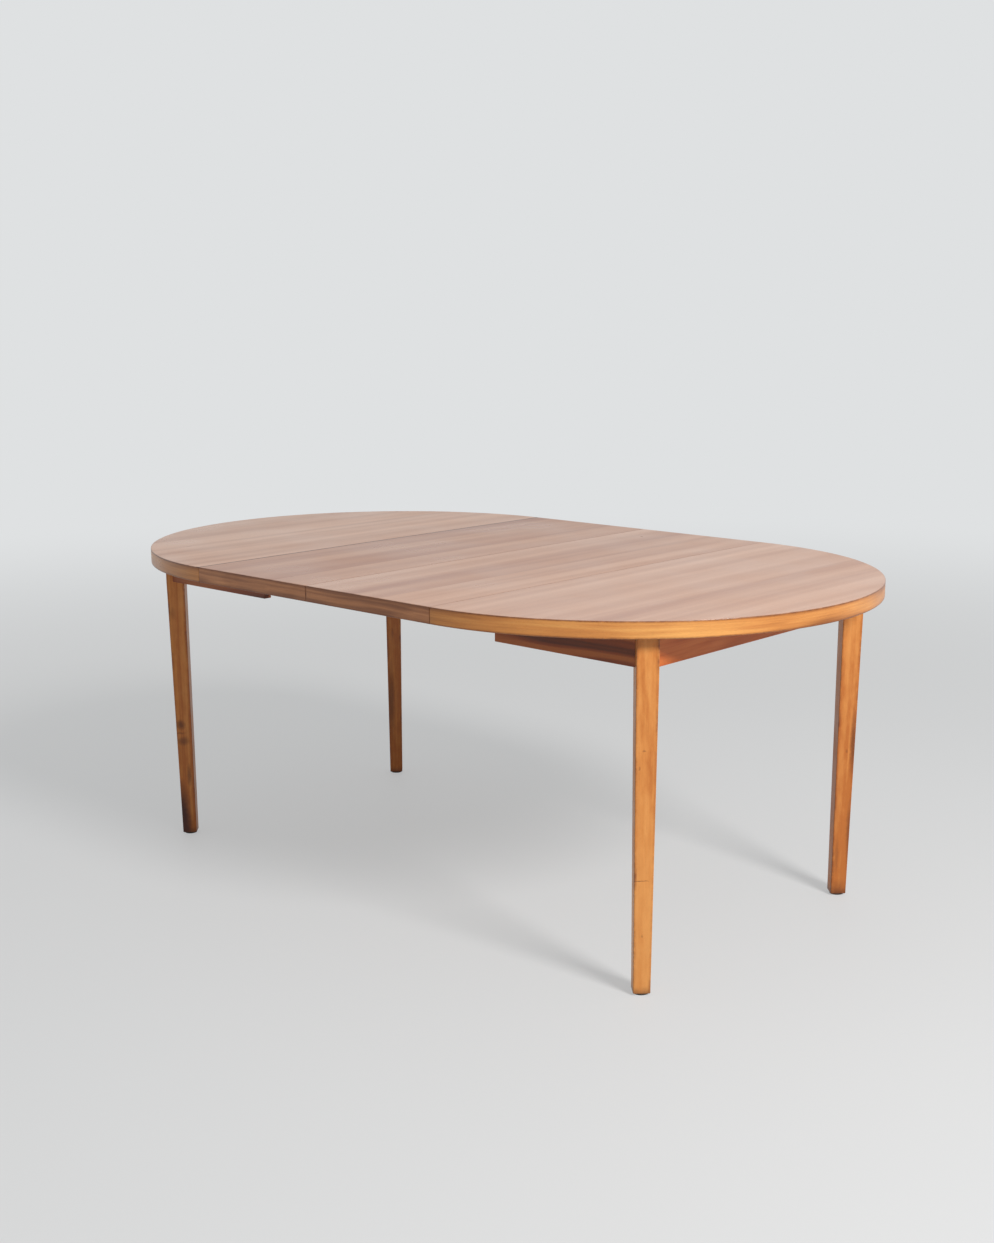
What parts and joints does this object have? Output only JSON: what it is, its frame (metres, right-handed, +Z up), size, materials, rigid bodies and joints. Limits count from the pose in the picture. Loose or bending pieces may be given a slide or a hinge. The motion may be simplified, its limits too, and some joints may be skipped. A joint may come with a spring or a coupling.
{
  "type": "extending dining table",
  "caption": "Oval wooden dining table pulled out: half-round ends on tapered diagonal legs slide apart on wooden runners, with loose leaves pegged and hooked between them.",
  "frame": {"origin": "on the floor under the middle of the pulled-out table", "axes": "+X along the table towards the half that slides, +Y across it to the back, +Z up"},
  "size_m": [1.8024, 1.1, 0.725],
  "materials": {
    "top_veneer": "red-brown hardwood veneer, satin lacquer, grain across the table",
    "end_band": "bent hardwood lipping, golden brown, satin lacquer",
    "leaf_band": "straight hardwood lipping, brown, satin lacquer",
    "seam_wood": "bare hardwood strip under the veneer",
    "leg_wood": "solid hardwood stained orange-brown, satin lacquer",
    "apron_wood": "hardwood stained red-brown, satin lacquer",
    "slide_beech": "plain beech, waxed",
    "block_pine": "sawn softwood, unfinished",
    "peg_beech": "fluted beech dowel",
    "fixing_steel": "zinc plated steel",
    "hook_brass": "stamped brass plate, dulled",
    "glide_felt": "pressed dark felt"
  },
  "bodies": {
    "left_half": {"left_back_apron": "apron_wood", "left_back_leg": "leg_wood", "left_back_rail": "slide_beech", "left_corner_blocks": "block_pine", "left_cross_bar": "slide_beech", "left_edge_band": "end_band", "left_end_apron": "apron_wood", "left_foot_glides": "glide_felt", "left_frame_screws": "fixing_steel", "left_front_apron": "apron_wood", "left_front_leg": "leg_wood", "left_front_rail": "slide_beech", "left_latch_screws": "fixing_steel", "left_leg_bolts": "fixing_steel", "left_leg_nuts": "fixing_steel", "left_rail_stops": "fixing_steel", "left_seam_pegs": "peg_beech", "left_seam_strip": "seam_wood", "left_top_blocks": "block_pine", "left_top_panel": "top_veneer"},
    "right_half": {"right_back_apron": "apron_wood", "right_back_leg": "leg_wood", "right_back_rail": "slide_beech", "right_corner_blocks": "block_pine", "right_cross_bar": "slide_beech", "right_edge_band": "end_band", "right_end_apron": "apron_wood", "right_foot_glides": "glide_felt", "right_frame_screws": "fixing_steel", "right_front_apron": "apron_wood", "right_front_leg": "leg_wood", "right_front_rail": "slide_beech", "right_latch_screws": "fixing_steel", "right_leg_bolts": "fixing_steel", "right_leg_nuts": "fixing_steel", "right_rail_stops": "fixing_steel", "right_seam_strip": "seam_wood", "right_top_blocks": "block_pine", "right_top_panel": "top_veneer"},
    "middle_slides": {"back_middle_rail": "slide_beech", "front_middle_rail": "slide_beech", "middle_tie": "slide_beech", "middle_tie_screws": "fixing_steel"},
    "leaf_1": {"leaf_1_end_bands": "leaf_band", "leaf_1_latch_screws": "fixing_steel", "leaf_1_panel": "top_veneer", "leaf_1_seam_pegs": "peg_beech", "leaf_1_seam_strips": "seam_wood"},
    "leaf_2": {"leaf_2_end_bands": "leaf_band", "leaf_2_latch_screws": "fixing_steel", "leaf_2_panel": "top_veneer", "leaf_2_seam_pegs": "peg_beech", "leaf_2_seam_strips": "seam_wood"},
    "leaf_1_back_hook": {"leaf_1_back_hook": "hook_brass"},
    "leaf_1_front_hook": {"leaf_1_front_hook": "hook_brass"},
    "leaf_2_back_hook": {"leaf_2_back_hook": "hook_brass"},
    "leaf_2_front_hook": {"leaf_2_front_hook": "hook_brass"},
    "left_back_hook": {"left_back_hook": "hook_brass"},
    "left_front_hook": {"left_front_hook": "hook_brass"}
  },
  "joints": [
    {"name": "extension", "type": "slide", "parent": "left_half", "child": "right_half", "axis": [1, 0, 0], "range_m": [-0.7016, 0]},
    {"name": "middle_slide", "type": "slide", "parent": "left_half", "child": "middle_slides", "axis": [1, 0, 0], "range_m": [-0.3508, 0]},
    {"name": "leaf_1_lift", "type": "slide", "parent": "left_half", "child": "leaf_1", "axis": [0, 0, 1], "range_m": [0, 0.42096]},
    {"name": "leaf_2_lift", "type": "slide", "parent": "left_half", "child": "leaf_2", "axis": [0, 0, 1], "range_m": [0, 0.42096]},
    {"name": "left_front_hook_turn", "type": "hinge", "parent": "left_half", "child": "left_front_hook", "pos_m": [-0.3962, -0.27017, 0.703], "axis": [0, 0, 1], "range_deg": [0, 90]},
    {"name": "left_back_hook_turn", "type": "hinge", "parent": "left_half", "child": "left_back_hook", "pos_m": [-0.3962, 0.27017, 0.703], "axis": [0, 0, -1], "range_deg": [0, 90]},
    {"name": "leaf_1_front_hook_turn", "type": "hinge", "parent": "leaf_1", "child": "leaf_1_front_hook", "pos_m": [-0.0454, -0.27017, 0.703], "axis": [0, 0, 1], "range_deg": [0, 90]},
    {"name": "leaf_1_back_hook_turn", "type": "hinge", "parent": "leaf_1", "child": "leaf_1_back_hook", "pos_m": [-0.0454, 0.27017, 0.703], "axis": [0, 0, -1], "range_deg": [0, 90]},
    {"name": "leaf_2_front_hook_turn", "type": "hinge", "parent": "leaf_2", "child": "leaf_2_front_hook", "pos_m": [0.3054, -0.27017, 0.703], "axis": [0, 0, 1], "range_deg": [0, 90]},
    {"name": "leaf_2_back_hook_turn", "type": "hinge", "parent": "leaf_2", "child": "leaf_2_back_hook", "pos_m": [0.3054, 0.27017, 0.703], "axis": [0, 0, -1], "range_deg": [0, 90]}
  ],
  "couplings": [
    {"joint": "middle_slide", "follows": "extension", "ratio": 0.5},
    {"joint": "leaf_1_lift", "follows": "extension", "ratio": -0.6},
    {"joint": "leaf_2_lift", "follows": "extension", "ratio": -0.6}
  ]
}
